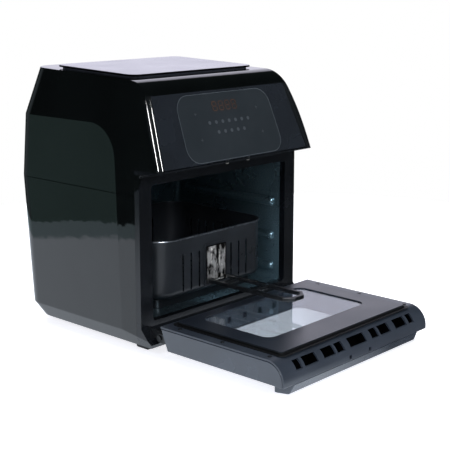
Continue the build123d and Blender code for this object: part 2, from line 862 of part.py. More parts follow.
with BuildPart() as motor_rotor:
    post(0, fan_y, motor_low_z + motor_wall + 1, motor_high_z - motor_wall - 1, rotor_radius)
    post(0, fan_y, motor_low_z, motor_high_z, shaft_radius + 0.02, Mode.SUBTRACT)
save(motor_rotor, "motor_rotor")

leg_reach = 40.0
with BuildPart() as motor_bracket:
    with BuildSketch(Plane.XY.offset(plate_low_z)):
        with Locations((0, fan_y)):
            RectangleRounded(2 * leg_reach + 12, 2 * leg_reach + 12, 8)
            Circle(shaft_radius + 6, mode=Mode.SUBTRACT)
    extrude(amount=motor_plate_thick)
    for dx in (-leg_reach, leg_reach):
        for dy in (-leg_reach, leg_reach):
            post(dx, fan_y + dy, housing_top, plate_low_z, 3.5)
save(motor_bracket, "motor_bracket")

tray_low_z = plate_low_z + 4.0
board_tray_x = (housing_radius - 42.0, housing_radius + 24.0)
board_tray_y = (fan_y - 53.0, fan_y + 53.0)
with BuildPart() as board_tray:
    box_between(
        (board_tray_x[0], board_tray_y[0], tray_low_z),
        (board_tray_x[1], board_tray_y[1], tray_low_z + 1.5),
    )
    for leg_y in (board_tray_y[0] + 14, board_tray_y[1] - 14):
        box_between(
            (board_tray_x[0], leg_y - 5, housing_top), (board_tray_x[0] + 4, leg_y + 5, tray_low_z)
        )
    with Locations(((board_tray_x[0] + board_tray_x[1]) / 2, (board_tray_y[0] + board_tray_y[1]) / 2,
                    tray_low_z + 4)):
        with GridLocations(54, 94, 2, 2):
            Cylinder(3, 5)
save(board_tray, "board_tray")

board_z = tray_low_z + 6.5
with BuildPart() as power_board:
    box_between(
        (board_tray_x[0] + 2, board_tray_y[0] + 2, board_z),
        (board_tray_x[1] - 2, board_tray_y[1] - 2, board_z + board_thick),
    )
save(power_board, "power_board")

with BuildPart() as board_components:
    top = board_z + board_thick
    left, front = board_tray_x[0], board_tray_y[0]
    box_between((left + 8, front + 10, top), (left + 34, front + 36, top + 20))
    box_between((left + 40, front + 14, top), (left + 58, front + 30, top + 14))
    for x, y, radius, height in ((16, 54, 7, 18), (38, 52, 5, 14), (52, 54, 5, 14), (52, 90, 6, 12)):
        post(left + x, front + y, top, top + height, radius)
    box_between((left + 10, front + 74, top), (left + 38, front + 96, top + 10))
save(board_components, "board_components")

with BuildPart() as thermostat:
    dial_x = 30 - housing_radius
    post(dial_x, fan_y - 30, housing_top, housing_top + 4, 9.0)
    post(dial_x, fan_y - 30, housing_top + 4, housing_top + 9, 6.5)
save(thermostat, "thermostat")


# ---------------------------------------------------------------- door
def door_bar(corners, half, rounds):
    """Bar of a given outline seen from the side, with some corners rounded."""
    with BuildPart() as bar:
        with BuildSketch(Plane.YZ.offset(-half)) as outline:
            with BuildLine():
                Polyline(*corners, close=True)
            make_face()
            for corner, radius in rounds:
                near = outline.vertices().sort_by_distance((corner[0], corner[1], 0))[0]
                fillet(near, radius)
        extrude(amount=2 * half)
    return bar.part


root_lean = (door_root_y - door_skirt_y) / (door_face_z - door_skin_z)


def root_y(z, inset):
    """Depth of the door's hinge-end face, moved in by a wall."""
    return door_root_y - (door_face_z - z) * root_lean - inset


def end_profile(top_z, inset):
    """Half-open outline that bounds the door's far end and inner face, moved in by a wall."""
    end = door_end_y + inset
    corners = ((0.0, top_z), (end, top_z), (end, -10.0), (0.0, -10.0))
    return door_bar(corners, door_half + 1, ((corners[1], door_end_round - inset),))


door_corners = (
    (door_root_y, door_face_z),
    (door_end_y, door_face_z),
    (door_end_y, door_skin_z),
    (door_skirt_y, door_skin_z),
)
door_solid = door_bar(
    door_corners, door_half, ((door_corners[1], door_end_round), (door_corners[2], 2.0))
)
face_in = door_face_z - door_wall
frame_hollow = end_profile(face_in, door_wall)
cover_limit = end_profile(face_in - door_seam, door_wall + door_seam)
skin_in_z = door_skin_z + door_wall
hollow_top_z = door_face_z + 30.0
hollow_corners = (
    (root_y(hollow_top_z, door_wall), hollow_top_z),
    (-big, hollow_top_z),
    (-big, skin_in_z),
    (root_y(skin_in_z, door_wall), skin_in_z),
)
door_hollow = door_bar(hollow_corners, door_half - door_wall, ())

leaf_x = hinge_ear_x + hinge_ear + 1.0
leaf_thick = 3.0
ear_radius = 6.0
window_mid_y = (window_root_y + window_end_y) / 2
window_depth = window_root_y - window_end_y
pane_half = window_half + glass_lap

with BuildPart() as door_outer_shell:
    add(door_solid & cover_limit)
    add(door_hollow, mode=Mode.SUBTRACT)
    for side in (-1, 1):
        box_between(
            (side * (leaf_x + leaf_thick / 2) - leaf_thick / 2 - 0.5, -70, 8),
            (side * (leaf_x + leaf_thick / 2) + leaf_thick / 2 + 0.5, -40, 38),
            Mode.SUBTRACT,
        )
    with BuildSketch():
        with Locations((0, window_mid_y)):
            RectangleRounded(2 * window_half, window_depth, window_corner)
    extrude(amount=40, mode=Mode.SUBTRACT)
save(door_outer_shell, "door_outer_shell")

frame_open_half = pane_half + 3.0
frame_open = (window_root_y + 14.0, window_end_y - 14.0)
with BuildPart() as door_inner_frame:
    add(door_solid)
    add(frame_hollow, mode=Mode.SUBTRACT)
    box_between(
        (-frame_open_half, frame_open[1], 40), (frame_open_half, frame_open[0], 60), Mode.SUBTRACT
    )
    for low_x, high_x in vent_spans:
        box_between((low_x, -300, vent_low_z), (high_x, door_end_y + 16, vent_high_z), Mode.SUBTRACT)
    for side in (-1, 1):
        hole_z = catch_y - hinge_y + hinge_z
        box_between(
            (side * catch_x - catch_hole / 2, -300, hole_z - catch_hole / 2),
            (side * catch_x + catch_hole / 2, door_end_y + 6, hole_z + catch_hole / 2),
            Mode.SUBTRACT,
        )
save(door_inner_frame, "door_inner_frame")

plug_mid_y = (plug_root_y + plug_end_y) / 2
plug_depth = plug_root_y - plug_end_y
plug_top = door_face_z + plug_lift
plug_skin = 1.5
gasket_thick = 1.8
plug_wall_half = plug_half - gasket_thick
with BuildPart() as door_liner:
    with BuildSketch(Plane.XY.offset(door_face_z)):
        with Locations((0, plug_mid_y)):
            RectangleRounded(2 * plug_wall_half, plug_depth - 2 * gasket_thick, 4)
    extrude(amount=plug_lift)
    box_between(
        (-frame_open_half, frame_open[1], door_face_z - 1),
        (frame_open_half, frame_open[0], plug_top - plug_skin),
        Mode.SUBTRACT,
    )
    with BuildSketch(Plane.XY.offset(door_face_z)):
        with Locations((0, window_mid_y)):
            RectangleRounded(2 * window_half, window_depth, window_corner)
    extrude(amount=plug_lift + 1, mode=Mode.SUBTRACT)
save(door_liner, "door_liner")

with BuildPart() as door_gasket:
    with BuildSketch(Plane.XY.offset(door_face_z)):
        with Locations((0, plug_mid_y)):
            RectangleRounded(2 * plug_half, plug_depth, 5.5)
            RectangleRounded(2 * plug_wall_half, plug_depth - 2 * gasket_thick, 4, mode=Mode.SUBTRACT)
    extrude(amount=plug_lift - 1)
    with BuildSketch(Plane.XY.offset(door_face_z + 1.2)):
        with Locations((0, plug_mid_y)):
            RectangleRounded(2 * plug_half + 1, plug_depth + 1, 6)
            RectangleRounded(2 * plug_half - 1.6, plug_depth - 1.6, 4.7, mode=Mode.SUBTRACT)
    extrude(amount=0.8, mode=Mode.SUBTRACT)
save(door_gasket, "door_gasket")

glass_top = plug_top - plug_skin
with BuildPart() as inner_glass:
    with BuildSketch(Plane.XY.offset(glass_top - glass_thick)):
        with Locations((0, window_mid_y)):
            RectangleRounded(2 * pane_half, window_depth + 2 * glass_lap, 4)
    extrude(amount=glass_thick)
save(inner_glass, "inner_glass")

outer_lap = 7.0
with BuildPart() as outer_glass:
    with BuildSketch(Plane.XY.offset(skin_in_z)):
        with Locations((0, window_mid_y)):
            RectangleRounded(2 * (window_half + outer_lap), window_depth + 2 * outer_lap, 4)
    extrude(amount=glass_thick)
save(outer_glass, "outer_glass")

duct_slots = 6
duct_low_z = skin_in_z + glass_thick
with BuildPart() as door_duct:
    with BuildSketch(Plane.XY.offset(duct_low_z)):
        with Locations((0, window_mid_y)):
            RectangleRounded(
                2 * (window_half + duct_wall), window_depth + 2 * duct_wall, window_corner + duct_wall
            )
            RectangleRounded(2 * window_half, window_depth, window_corner, mode=Mode.SUBTRACT)
    extrude(amount=glass_top - glass_thick - duct_low_z)
    with Locations((0, window_root_y, (glass_top - glass_thick + duct_low_z) / 2)):
        with GridLocations(32, 1, duct_slots, 1):
            Box(8, 6, 9, mode=Mode.SUBTRACT)
save(door_duct, "door_duct")

with BuildPart() as door_handle:
    pull_corners = (
        (pull_back_y, door_skin_z),
        (pull_front_y, door_skin_z),
        (pull_toe_y, pull_low_z),
        (pull_back_y, pull_low_z),
    )
    add(door_bar(pull_corners, pull_half, ((pull_corners[2], pull_round), (pull_corners[3], 1.0))))
    with BuildSketch():
        with BuildLine():
            Polyline(
                (-pull_half, pull_back_y + 1),
                (pull_half, pull_back_y + 1),
                (pull_half, pull_back_y - 4),
                (pull_half - pull_taper, pull_front_y - 1),
                (pull_taper - pull_half, pull_front_y - 1),
                (-pull_half, pull_back_y - 4),
                close=True,
            )
        make_face()
    extrude(amount=door_skin_z + 1, mode=Mode.INTERSECT)
save(door_handle, "door_handle")

screw_bar_x = pull_half - 23.0
with BuildPart() as handle_screws:
    for side in (-1, 1):
        x = side * screw_bar_x
        y = (pull_back_y + pull_front_y) / 2
        post(x, y, skin_in_z, skin_in_z + 2.3, 3.2)
save(handle_screws, "handle_screws")

rim_dot_x = plug_half + 10.5
rim_dots = (-72.0, -148.0, -226.0)
with BuildPart() as frame_screws:
    for dot_y in rim_dots:
        for side in (-1, 1):
            post(side * rim_dot_x, dot_y, door_face_z, door_face_z + 0.9, 2.8)
    fillet(frame_screws.edges().group_by(Axis.Z)[-1], 0.5)
save(frame_screws, "frame_screws")

# ---------------------------------------------------------------- hinges
with BuildPart() as hinge_brackets:
    for side in (-1, 1):
        start = hinge_ear_x if side > 0 else -hinge_ear_x - hinge_ear
        with BuildSketch(Plane.YZ.offset(start)):
            with BuildLine():
                Polyline(
                    (hinge_y, hinge_z + ear_radius),
                    (face_y, lip_top_z),
                    (lip_y, lip_z),
                    (hinge_y, hinge_z - ear_radius),
                    close=True,
                )
            make_face()
            with Locations((hinge_y, hinge_z)):
                Circle(ear_radius)
                Circle(pin_radius + 0.02, mode=Mode.SUBTRACT)
        extrude(amount=hinge_ear)
save(hinge_brackets, "hinge_brackets")

with BuildPart() as hinge_pins:
    for side in (-1, 1):
        inside = side * (hinge_ear_x - 1.5)
        outside = side * (leaf_x + leaf_thick + 0.4)
        with Locations(Location(((inside + outside) / 2, hinge_y, hinge_z), (0, 90, 0))):
            Cylinder(pin_radius, abs(outside - inside))
        for x in (inside - side * 0.4, outside + side * 0.8):
            with Locations(Location((x, hinge_y, hinge_z), (0, 90, 0))):
                Cylinder(pin_radius + 1.5, 1.6)
save(hinge_pins, "hinge_pins")

leaf_end_y = -92.0
with BuildPart() as hinge_leaves:
    for side in (-1, 1):
        start = leaf_x if side > 0 else -leaf_x - leaf_thick
        with BuildSketch(Plane.YZ.offset(start)):
            with BuildLine():
                Polyline(
                    (hinge_y, hinge_z + ear_radius),
                    (hinge_y - 30, hinge_z + ear_radius),
                    (leaf_end_y + 4, face_in),
                    (leaf_end_y, face_in),
                    (leaf_end_y, hinge_z - ear_radius),
                    (hinge_y, hinge_z - ear_radius),
                    close=True,
                )
            make_face()
            with Locations((hinge_y, hinge_z)):
                Circle(ear_radius)
                Circle(pin_radius + pin_play, mode=Mode.SUBTRACT)
        extrude(amount=leaf_thick)
        box_between(
            (min(side * (leaf_x - 9), side * leaf_x), leaf_end_y, face_in - 2),
            (max(side * (leaf_x - 9), side * leaf_x), leaf_end_y + 20, face_in),
        )
save(hinge_leaves, "hinge_leaves")

# ---------------------------------------------------------------- basket
basket_mid_y = (basket_front_y + basket_back_y) / 2
basket_depth = basket_back_y - basket_front_y


def basket_box(inset, low_z, high_z):
    """The basket as a closed box with rounded corners and a rounded foot."""
    with BuildPart() as body:
        with BuildSketch(Plane.XY.offset(low_z)):
            with Locations((0, basket_mid_y)):
                RectangleRounded(
                    2 * (basket_half - inset), basket_depth - 2 * inset, basket_corner - inset
                )
        extrude(amount=high_z - low_z)
        fillet(body.faces().sort_by(Axis.Z)[0].edges(), basket_foot_round - inset)
    return body.part


slot_height = slot_high_z - slot_low_z
slot_mid_z = (slot_high_z + slot_low_z) / 2
with BuildPart() as basket:
    add(basket_box(0, basket_low_z, basket_high_z))
    add(basket_box(basket_wall, basket_low_z + basket_wall, basket_high_z + 5), mode=Mode.SUBTRACT)
    with BuildSketch(Plane.XY.offset(basket_high_z - 1.4)):
        with Locations((0, basket_mid_y)):
            RectangleRounded(
                2 * basket_half + basket_rim, basket_depth + basket_rim, basket_corner + basket_rim / 2
            )
            RectangleRounded(
                2 * (basket_half - basket_wall), basket_depth - 2 * basket_wall,
                basket_corner - basket_wall, mode=Mode.SUBTRACT
            )
    extrude(amount=2.6)
    fillet(basket.edges().group_by(Axis.Z)[-1], 1.1)
    for side in (-1, 1):
        for offset_x in slot_offsets:
            with Locations((side * offset_x, basket_mid_y, slot_mid_z)):
                Box(slot_width, 2 * basket_depth, slot_height, mode=Mode.SUBTRACT)
        with Locations((side * basket_half, basket_mid_y, slot_mid_z)):
            with GridLocations(1, 17, 1, 8):
                Box(20, slot_width, slot_height, mode=Mode.SUBTRACT)
    with BuildSketch(Plane.XY.offset(basket_low_z - 1)):
        with Locations((0, basket_mid_y)):
            with GridLocations(18, 40, 10, 4):
                SlotOverall(30, 4, rotation=90)
    extrude(amount=4, mode=Mode.SUBTRACT)
    with BuildSketch(Plane.XZ.offset(-basket_front_y)):
        with Locations((0, (bracket_low_z + bracket_high_z) / 2)):
            RectangleRounded(
                2 * (bracket_half + 0.6 + bracket_frame),
                bracket_high_z - bracket_low_z + 2 * (0.6 + bracket_frame), 4
            )
            RectangleRounded(
                2 * (bracket_half + 0.6), bracket_high_z - bracket_low_z + 1.2, 2,
                mode=Mode.SUBTRACT
            )
    extrude(amount=1.0)
save(basket, "basket")

ear_x = 12.0
bracket_ear = 2.5
with BuildPart() as handle_bracket:
    box_between(
        (-bracket_half, basket_front_y - bracket_thick, bracket_low_z),
        (bracket_half, basket_front_y, bracket_high_z),
    )
    for side in (-1, 1):
        start = ear_x if side > 0 else -ear_x - bracket_ear
        with BuildSketch(Plane.YZ.offset(start)):
            with Locations((grip_y, grip_z)):
                Circle(3.2)
            with Locations(((grip_y + basket_front_y - bracket_thick) / 2, grip_z)):
                Rectangle(basket_front_y - bracket_thick - grip_y, 6.4)
            with Locations((grip_y, grip_z)):
                Circle(grip_pin + 0.02, mode=Mode.SUBTRACT)
        extrude(amount=bracket_ear)
    with BuildSketch(Plane.XZ.offset(bracket_thick - basket_front_y)):
        with Locations((0, (bracket_low_z + bracket_high_z) / 2 + 6)):
            RectangleRounded(20, 34, 4)
            RectangleRounded(14, 28, 2.5, mode=Mode.SUBTRACT)
        with Locations((-rivet_x, rivet_z), (rivet_x, rivet_z)):
            Circle(3)
    extrude(amount=0.8)
save(handle_bracket, "handle_bracket")

with BuildPart() as handle_pin:
    with Locations(Location((0, grip_y, grip_z), (0, 90, 0))):
        Cylinder(grip_pin, 2 * grip_half + 1.0)
    for side in (-1, 1):
        with Locations(Location((side * (grip_half + 1.0), grip_y, grip_z), (0, 90, 0))):
            Cylinder(grip_pin + 0.9, 1.2)
save(handle_pin, "handle_pin")

grip_root_y = grip_y + 2.6
grip_end_y = grip_y - grip_reach
grip_inner = grip_half - grip_bar
cross_places = ((24.0, 6.0), (80.0, 6.0))
with BuildPart() as basket_handle:
    with BuildSketch(Plane.XY.offset(grip_z - grip_thick / 2)) as grip_outline:
        with BuildLine():
            Polyline(
                (-grip_half, grip_root_y),
                (-grip_half, grip_end_y + grip_corner),
                (-grip_half + grip_corner, grip_end_y),
                (grip_half - grip_corner, grip_end_y),
                (grip_half, grip_end_y + grip_corner),
                (grip_half, grip_root_y),
                close=True,
            )
        make_face()
        with BuildLine():
            Polyline(
                (-grip_inner, grip_root_y + 1),
                (-grip_inner, grip_end_y + grip_corner + 1),
                (-grip_inner + grip_corner - 4, grip_end_y + grip_bar),
                (grip_inner - grip_corner + 4, grip_end_y + grip_bar),
                (grip_inner, grip_end_y + grip_corner + 1),
                (grip_inner, grip_root_y + 1),
                close=True,
            )
        make_face(mode=Mode.SUBTRACT)
        for reach, width in cross_places:
            with Locations((0, grip_y - reach)):
                Rectangle(2 * grip_inner + 1, width)
    extrude(amount=grip_thick)
    rails = basket_handle.faces().filter_by(Axis.Z).edges()
    fillet(rails, 1.2)
    with Locations(Location((0, grip_y, grip_z), (0, 90, 0))):
        Cylinder(grip_pin + 0.05, 3 * grip_half, mode=Mode.SUBTRACT)
save(basket_handle, "basket_handle")

with BuildPart() as bracket_rivets:
    for x in (-rivet_x, rivet_x):
        with Locations(Location((x, basket_front_y + basket_wall + 0.5, rivet_z), (90, 0, 0))):
            Cylinder(3, 1.0)
save(bracket_rivets, "bracket_rivets")

tray_low = open_low_z + gap
tray_high = basket_low_z - gap
with BuildPart() as drip_tray:
    tray_mid_y = (tray_front_y + tray_back_y) / 2
    tray_depth = tray_back_y - tray_front_y
    with BuildSketch(Plane.XY.offset(tray_low)):
        with Locations((0, tray_mid_y)):
            RectangleRounded(2 * (tray_half - tray_flange), tray_depth - 2 * tray_flange, 10)
    extrude(amount=tray_high - tray_low)
    with BuildSketch(Plane.XY.offset(tray_high - tray_wall)):
        with Locations((0, tray_mid_y)):
            RectangleRounded(2 * tray_half, tray_depth, 12)
    extrude(amount=tray_wall)
    with BuildSketch(Plane.XY.offset(tray_low + tray_wall)):
        with Locations((0, tray_mid_y)):
            RectangleRounded(
                2 * (tray_half - tray_flange - tray_wall), tray_depth - 2 * (tray_flange + tray_wall), 9
            )
    extrude(amount=tray_high, mode=Mode.SUBTRACT)
save(drip_tray, "drip_tray")

base_screw_x = low_half - 29.3
with BuildPart() as base_screws:
    for x in (-base_screw_x, base_screw_x):
        for y in (50.0, 150.0):
            post(x, y, foot_height - 1.6, foot_height, 3.5)
save(base_screws, "base_screws")
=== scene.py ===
import math
import bpy
from mathutils import Matrix, Vector


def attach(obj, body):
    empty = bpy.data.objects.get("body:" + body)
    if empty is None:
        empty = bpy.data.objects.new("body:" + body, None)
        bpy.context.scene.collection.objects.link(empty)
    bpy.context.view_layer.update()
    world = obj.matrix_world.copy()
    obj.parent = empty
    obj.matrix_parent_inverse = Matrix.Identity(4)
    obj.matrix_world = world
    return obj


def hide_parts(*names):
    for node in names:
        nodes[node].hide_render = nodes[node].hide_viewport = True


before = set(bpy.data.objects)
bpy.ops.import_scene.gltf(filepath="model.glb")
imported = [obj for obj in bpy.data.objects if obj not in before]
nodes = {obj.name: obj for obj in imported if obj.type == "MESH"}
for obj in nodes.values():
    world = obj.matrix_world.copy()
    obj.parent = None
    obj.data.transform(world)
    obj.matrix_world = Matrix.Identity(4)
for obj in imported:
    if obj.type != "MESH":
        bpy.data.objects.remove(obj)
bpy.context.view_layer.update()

mm = 0.001


# Small helpers

def deselectAll():
    if bpy.context.object and bpy.context.object.mode != "OBJECT":
        bpy.ops.object.mode_set(mode="OBJECT")
    bpy.ops.object.select_all(action="DESELECT")


def pickOnly(piece):
    deselectAll()
    piece.select_set(True)
    bpy.context.view_layer.objects.active = piece


def openEdit(mode, action):
    bpy.ops.object.mode_set(mode="EDIT")
    bpy.ops.mesh.select_mode(type=mode)
    bpy.ops.mesh.select_all(action=action)


def closeEdit():
    bpy.ops.object.mode_set(mode="OBJECT")


def applyModifier(piece, kind, **settings):
    pickOnly(piece)
    modifier = piece.modifiers.new(kind.title(), kind)
    for name, value in settings.items():
        setattr(modifier, name, value)
    bpy.ops.object.modifier_apply(modifier=modifier.name)


def applyPlace(piece):
    pickOnly(piece)
    bpy.ops.object.transform_apply(location=True, rotation=True, scale=True)


def smoothByAngle(piece, degrees):
    pickOnly(piece)
    bpy.ops.object.shade_smooth_by_angle(angle=math.radians(degrees))


def addBlock(wide, deep, high, middle=(0, 0, 0)):
    deselectAll()
    bpy.ops.mesh.primitive_cube_add(size=1, location=[value * mm for value in middle])
    block = bpy.context.object
    block.scale = (wide * mm, deep * mm, high * mm)
    applyPlace(block)
    return block


def joinAll(pieces, name):
    deselectAll()
    for piece in pieces:
        piece.select_set(True)
    bpy.context.view_layer.objects.active = pieces[0]
    bpy.ops.object.join()
    joined = bpy.context.object
    joined.name = name
    return joined


def finishPiece(piece, body, material, replaced=()):
    piece.data.materials.clear()
    piece.data.materials.append(material)
    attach(piece, body)
    if replaced:
        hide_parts(*replaced)
    return piece


def linear(hexColour):
    values = [int(hexColour[i:i + 2], 16) / 255 for i in (1, 3, 5)]
    return [v / 12.92 if v < 0.04045 else ((v + 0.055) / 1.055) ** 2.4 for v in values] + [1.0]


def addNode(tree, kind, inputs=None, **settings):
    node = tree.nodes.new(kind)
    for name, value in settings.items():
        setattr(node, name, value)
    for name, value in (inputs or {}).items():
        if isinstance(value, bpy.types.NodeSocket):
            tree.links.new(value, node.inputs[name])
        else:
            node.inputs[name].default_value = value
    return node


# Materials. Depths of relief and sizes of the faint colour patches are in mm

relief = {"grain": 0.4, "brushing": 0.3, "swell": 2.0, "dents": 1.0}
patches = {"gloss": 90, "plastic": 60, "metal": 40, "glass": 70}
noiseReach = (0.3, 0.7)      # the part of its range that a noise mostly fills


def startMaterial(name):
    material = bpy.data.materials.new(name)
    material.use_nodes = True
    tree = material.node_tree
    tree.nodes.clear()
    coords = addNode(tree, "ShaderNodeTexCoord").outputs["Object"]
    return material, tree, coords


def noiseAt(tree, coords, sizeMm, detail=3.0, stretch=None):
    place = coords
    if stretch:
        scaled = addNode(tree, "ShaderNodeMapping", {"Vector": coords, "Scale": stretch})
        place = scaled.outputs["Vector"]
    noise = addNode(tree, "ShaderNodeTexNoise", {
        "Vector": place, "Scale": 1000 / sizeMm, "Detail": detail})
    return noise.outputs["Fac"]


def blendColour(tree, factor, first, second, stops=(0.35, 0.68)):
    ramp = addNode(tree, "ShaderNodeValToRGB", {"Fac": factor})
    for element, stop, colour in zip(ramp.color_ramp.elements, stops, (first, second)):
        element.position = stop
        element.color = linear(colour)
    return ramp.outputs["Color"]


def spread(tree, factor, low, high):
    span = addNode(tree, "ShaderNodeMapRange", {
        "Value": factor, "From Min": noiseReach[0], "From Max": noiseReach[1],
        "To Min": low, "To Max": high})
    return span.outputs["Result"]


def bumpFrom(tree, height, strength, depthMm, **inputs):
    inputs.update({"Height": height, "Strength": strength, "Distance": depthMm * mm})
    return addNode(tree, "ShaderNodeBump", inputs).outputs["Normal"]


def closeMaterial(material, tree, colour, roughness, normal, constants):
    inputs = {"Base Color": colour, "Roughness": roughness, "Normal": normal}
    inputs.update(constants)
    shader = addNode(tree, "ShaderNodeBsdfPrincipled", inputs)
    addNode(tree, "ShaderNodeOutputMaterial", {"Surface": shader.outputs["BSDF"]})
    return material


def plastic(name, dark, light, roughness, grainMm, bump, **constants):
    material, tree, coords = startMaterial(name)
    shade = noiseAt(tree, coords, patches["plastic"])
    normal = bumpFrom(tree, noiseAt(tree, coords, grainMm, 2.0), bump, relief["grain"])
    values = {"IOR": 1.5}
    values.update(constants)
    return closeMaterial(material, tree, blendColour(tree, shade, dark, light),
                         spread(tree, shade, *roughness), normal, values)


def glossShell(name, dark, light, roughness, waveMm, wave, grainMm, bump):
    material, tree, coords = startMaterial(name)
    shade = noiseAt(tree, coords, patches["gloss"])
    swell = bumpFrom(tree, noiseAt(tree, coords, waveMm, 2.0), wave, relief["swell"])
    normal = bumpFrom(tree, noiseAt(tree, coords, grainMm, 2.0), bump, relief["grain"], Normal=swell)
    return closeMaterial(material, tree, blendColour(tree, shade, dark, light),
                         spread(tree, shade, *roughness), normal, {"IOR": 1.55})


def metal(name, dark, light, roughness, lineMm, bump, stretch=None, metallic=1.0):
    material, tree, coords = startMaterial(name)
    lines = noiseAt(tree, coords, lineMm, 4.0, stretch)
    shade = noiseAt(tree, coords, patches["metal"])
    normal = bumpFrom(tree, lines, bump, relief["brushing"])
    return closeMaterial(material, tree, blendColour(tree, lines, dark, light),
                         spread(tree, shade, *roughness), normal, {"Metallic": metallic})


def hammeredPlate(name, dark, light, roughness, dentMm, bump):
    material, tree, coords = startMaterial(name)
    dents = noiseAt(tree, coords, dentMm, 3.0, (1, 1, 0.55))      # taller than wide
    # painted reflection: the dents set the colour from dark to light as well as the bump
    colour = blendColour(tree, dents, dark, light, (0.42, 0.56))
    normal = bumpFrom(tree, dents, bump, relief["dents"])
    return closeMaterial(material, tree, colour, spread(tree, dents, *roughness), normal,
                         {"Metallic": 0.55})


def clearGlass(name):
    material, tree, coords = startMaterial(name)
    smears = noiseAt(tree, coords, patches["glass"])
    glass = addNode(tree, "ShaderNodeBsdfGlass", {
        "Color": linear("#f3f4f5"), "IOR": 1.5, "Roughness": spread(tree, smears, 0.0, 0.02)})
    through = addNode(tree, "ShaderNodeBsdfTransparent", {"Color": linear("#f4f4f4")})
    shadowPass = addNode(tree, "ShaderNodeLightPath").outputs["Is Shadow Ray"]
    mixed = addNode(tree, "ShaderNodeMixShader", {"Fac": shadowPass})
    tree.links.new(glass.outputs["BSDF"], mixed.inputs[1])
    tree.links.new(through.outputs["BSDF"], mixed.inputs[2])
    addNode(tree, "ShaderNodeOutputMaterial", {"Surface": mixed.outputs["Shader"]})
    return material


# Cabinet and door. The real grain of a textured tool is near 0.1 mm; it is drawn near 1 mm to show

# moulded in a polished tool: deep black that mirrors the room, with slow waves in its highlights
glossAbs = glossShell("Gloss ABS", "#070909", "#0b0e0e", (0.02, 0.05), 34.0, 0.1, 7.0, 0.03)
# polished trim: one sharp bright line along its rounded edge
beadGloss = plastic("Polished bead", "#07080a", "#0b0d10", (0.1, 0.13), 4.0, 0.02)
# moulded in a fine spark-eroded tool: dull black with broad soft highlights
frameAbs = plastic("Satin ABS", "#0d0f13", "#13161b", (0.2, 0.28), 0.8, 0.15)
# the same tool finish, charcoal
panelAbs = plastic("Panel ABS", "#1e2228", "#242930", (0.22, 0.3), 1.0, 0.1)
# moulded, a little rougher: reads blue grey where it faces up
doorFrameAbs = plastic("Door frame ABS", "#383f49", "#424954", (0.28, 0.36), 0.8, 0.15)
# printed polyester film: even dark grey with a soft sheen
screenFilm = plastic("Screen film", "#2c3236", "#33393d", (0.18, 0.25), 1.2, 0.05)
# display segments, barely lit: dull amber
screenGlow = plastic("Display segment", "#50331f", "#5f4029", (0.3, 0.4), 1.0, 0.02)
# screen-printed ink: flat greys, the outline lighter than the icons
iconPrint = plastic("Icon print", "#4a5055", "#5a6065", (0.3, 0.4), 1.0, 0.02)
keylinePrint = plastic("Keyline print", "#5c6469", "#6d757a", (0.25, 0.35), 1.0, 0.02)
# coarse textured moulding of the underside and back: matt black
baseAbs = plastic("Base ABS", "#101113", "#16181a", (0.45, 0.55), 1.0, 0.3)
# moulded rubber: no highlight, slightly mottled
footRubber = plastic("Foot rubber", "#0b0b0c", "#111112", (0.65, 0.8), 1.5, 0.35)
# pale grey with a metallic finish: the pale colour is a painted reflection of the bright room above,
# and the metallic finish mirrors what is above it
roofPaintedReflection = plastic("Roof plate painted reflection", "#6c6d78", "#767782", (0.14, 0.2), 0.9, 0.06, Metallic=0.55)
# moulded and lacquered: brighter at a low angle than plain ABS, hence its IOR
doorSkinAbs = plastic("Door skin ABS", "#2d3540", "#37404d", (0.2, 0.3), 0.9, 0.12, IOR=1.75)
# baked coating on the door's plug: dark slate, half matt
plugCoat = plastic("Door liner coating", "#252b34", "#2e343e", (0.28, 0.36), 0.7, 0.15)
# painted shade: matt black with nearly no reflection, for dark pieces set where gaps and hollows lie in
# shade
paintedShade = plastic("Painted shade", "#050506", "#08080a", (0.6, 0.75), 1.0, 0.2,
                     **{"Specular IOR Level": 0.05})
# extruded silicone: soft black
gasketRubber = plastic("Silicone gasket", "#08090a", "#0e0f10", (0.5, 0.6), 1.5, 0.2)

# Basket, tray, handle and catch

# sprayed and baked non-stick: dark grey with fine orange peel
basketCoat = plastic("Non-stick coating", "#24282c", "#2e3237", (0.26, 0.36), 0.6, 0.2)
# the coating on the rolled rim, drawn lighter and metallic: a painted highlight for the bright line
# along the rim
rimPaintedHighlight = metal("Rim coating painted highlight", "#4a4f55", "#767c82", (0.2, 0.32), 4.0, 0.1, metallic=0.6)
# baked coating of the crumb tray: duller than the basket's
trayCoat = plastic("Tray coating", "#191b1e", "#22252a", (0.3, 0.42), 0.6, 0.2)
# moulded glass-filled nylon: near black, slightly rough
handleNylon = plastic("Handle nylon", "#101214", "#181b1e", (0.3, 0.4), 0.9, 0.2)
# moulded undyed nylon: milky grey
catchNylon = plastic("Natural nylon", "#9a9a94", "#b0b0a8", (0.4, 0.5), 1.0, 0.1)

# Metals

# vitreous enamel on pressed steel: blue grey with soft reflections
linerSteel = metal("Enamelled liner steel", "#5c7279", "#788d94", (0.22, 0.34), 2.0, 0.08,
                   metallic=0.75)
# painted sheet duct: dark slate, little of the metal showing
ductSteel = metal("Coated duct steel", "#323b45", "#3e4852", (0.3, 0.42), 2.0, 0.08, metallic=0.2)
# brushed sheet: fine lines along X, drawn at 1.2 mm so that they show
brushedSteel = metal("Brushed steel", "#a9a9a9", "#c4c4c4", (0.25, 0.4), 1.2, 0.15, (1, 12, 12))
# drawn tube after heating: brown grey oxide in blotches
elementSteel = metal("Oxidised element steel", "#3f3a36", "#5a534d", (0.4, 0.55), 3.0, 0.2)
# bright plate over a rough base: sharp, uneven reflections
chromePlate = metal("Chrome plate", "#a8a39c", "#e6e2dc", (0.06, 0.16), 7.0, 0.5)
